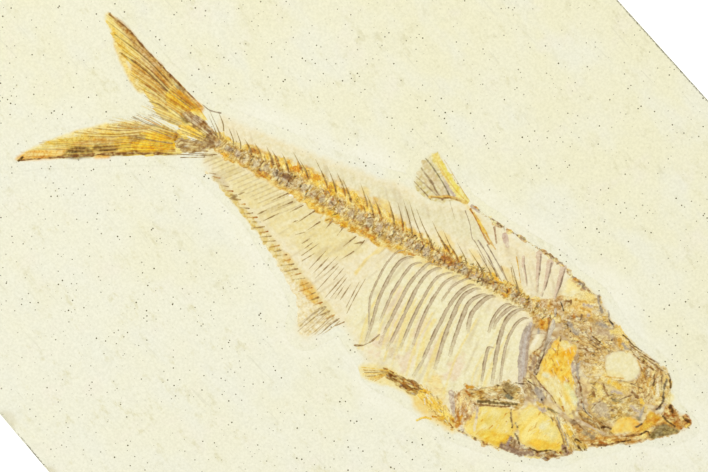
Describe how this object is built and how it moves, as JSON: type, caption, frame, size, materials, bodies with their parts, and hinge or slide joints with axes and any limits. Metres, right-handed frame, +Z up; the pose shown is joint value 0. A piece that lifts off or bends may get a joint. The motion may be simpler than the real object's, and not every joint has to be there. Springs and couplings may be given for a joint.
{
  "type": "fossil fish slab",
  "caption": "Fossil of a small herring-like fish, seen from its side, in low relief on a thin rectangular slab of cream limestone with sawn edges.",
  "frame": {"origin": "centre of the slab's bounding box, on the back face that it rests on", "axes": "+X along the slab's long sawn sides, towards the fish's head; +Y across the slab, towards the fish's back; +Z up, out of the face with the fish"},
  "size_m": [0.14, 0.1206, 0.0107],
  "materials": {
    "limestone": "matte, fine-grained, cream with faint clouds and dark specks",
    "brown_bone": "satin, mineralised bone, mottled brown and black",
    "grey_bone": "satin, mineralised bone, mauve-grey to taupe",
    "amber_bone": "satin, thin mineralised bone and fin, stained orange-yellow"
  },
  "bodies": {
    "root": {"limestone_slab": "limestone", "backbone": "brown_bone", "skull": "brown_bone", "cheek_bones": "brown_bone", "lower_jaw": "brown_bone", "upper_jaw": "brown_bone", "back_scutes": "brown_bone", "belly_scutes": "brown_bone", "pelvic_fin": "brown_bone", "breast_fin": "brown_bone", "rib_01": "grey_bone", "rib_02": "grey_bone", "rib_03": "grey_bone", "rib_04": "grey_bone", "rib_05": "grey_bone", "rib_06": "grey_bone", "rib_07": "grey_bone", "rib_08": "grey_bone", "rib_09": "grey_bone", "rib_10": "grey_bone", "rib_11": "grey_bone", "rib_12": "grey_bone", "rib_13": "grey_bone", "rib_14": "grey_bone", "rib_15": "grey_bone", "rib_16": "grey_bone", "rib_17": "grey_bone", "nape_bone_1": "grey_bone", "nape_bone_2": "grey_bone", "nape_bone_3": "grey_bone", "nape_bone_4": "grey_bone", "front_gill_bone": "grey_bone", "shoulder_bone": "grey_bone", "shoulder_brace": "grey_bone", "anal_fin": "grey_bone", "gill_cover": "amber_bone", "breast_plate_front": "amber_bone", "breast_plate_rear": "amber_bone", "tail_lobe_upper": "amber_bone", "tail_lobe_lower": "amber_bone", "dorsal_fin": "amber_bone"}
  },
  "joints": []
}
